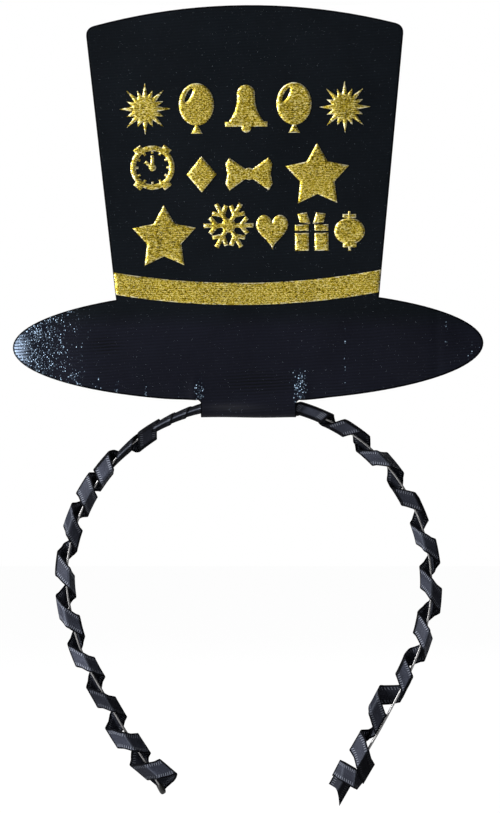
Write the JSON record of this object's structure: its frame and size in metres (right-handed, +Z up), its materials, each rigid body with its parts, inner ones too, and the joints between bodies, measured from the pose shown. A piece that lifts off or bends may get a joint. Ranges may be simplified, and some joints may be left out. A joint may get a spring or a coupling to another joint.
{
  "type": "party hat headband",
  "caption": "Flat black top-hat topper with gold foil shapes and a gold hat band, tabbed onto a ribbon-wound spring-steel headband.",
  "frame": {"origin": "middle of the steel strip at the crown of the headband, centred left to right", "axes": "+Z up through the hat, +Y towards its back, +X to the right of someone who faces the hat"},
  "size_m": [0.1668, 0.0095, 0.2819],
  "materials": {
    "face_fabric": "black coated ribbed fabric with a soft gloss",
    "foam": "black open-cell craft foam, matt",
    "lining": "black brushed knit, matt",
    "gold_foil": "gold hot-stamped foil, bright with fine horizontal flecks",
    "glue": "translucent hot-melt glue",
    "steel": "bright spring steel strip",
    "ribbon": "black grosgrain ribbon with picot edges, slate sheen",
    "vinyl": "black dipped vinyl"
  },
  "bodies": {
    "headband_crown": {"steel_crown": "steel", "ribbon_crown": "ribbon"},
    "hat": {"front_fabric": "face_fabric", "foam_core": "foam", "back_lining": "lining", "tab_glue": "glue", "foil_hat_band": "gold_foil", "foil_star_left": "gold_foil", "foil_star_right": "gold_foil", "foil_burst_left": "gold_foil", "foil_balloon_left": "gold_foil", "foil_bell": "gold_foil", "foil_balloon_right": "gold_foil", "foil_burst_right": "gold_foil", "foil_clock": "gold_foil", "foil_diamond": "gold_foil", "foil_bow": "gold_foil", "foil_snowflake": "gold_foil", "foil_heart": "gold_foil", "foil_gift": "gold_foil", "foil_lantern": "gold_foil"},
    "left_arm": {"steel_left": "steel", "ribbon_left": "ribbon", "glue_left": "glue", "tip_cap_left": "vinyl"},
    "right_arm": {"steel_right": "steel", "ribbon_right": "ribbon", "glue_right": "glue", "tip_cap_right": "vinyl", "ribbon_end_fold": "ribbon"}
  },
  "joints": [
    {"name": "hat_tilt", "type": "hinge", "parent": "headband_crown", "child": "hat", "pos_m": [0, 0, -0.0011], "axis": [1, 0, 0], "range_deg": [-25, 25]},
    {"name": "left_arm_flex", "type": "hinge", "parent": "headband_crown", "child": "left_arm", "pos_m": [-0.03529, 0, -0.01045], "axis": [0, 1, 0], "range_deg": [-3, 16], "stiffness_Nm_per_rad": 0.4},
    {"name": "right_arm_flex", "type": "hinge", "parent": "headband_crown", "child": "right_arm", "pos_m": [0.03529, 0, -0.01045], "axis": [0, -1, 0], "range_deg": [-3, 16], "stiffness_Nm_per_rad": 0.4}
  ]
}
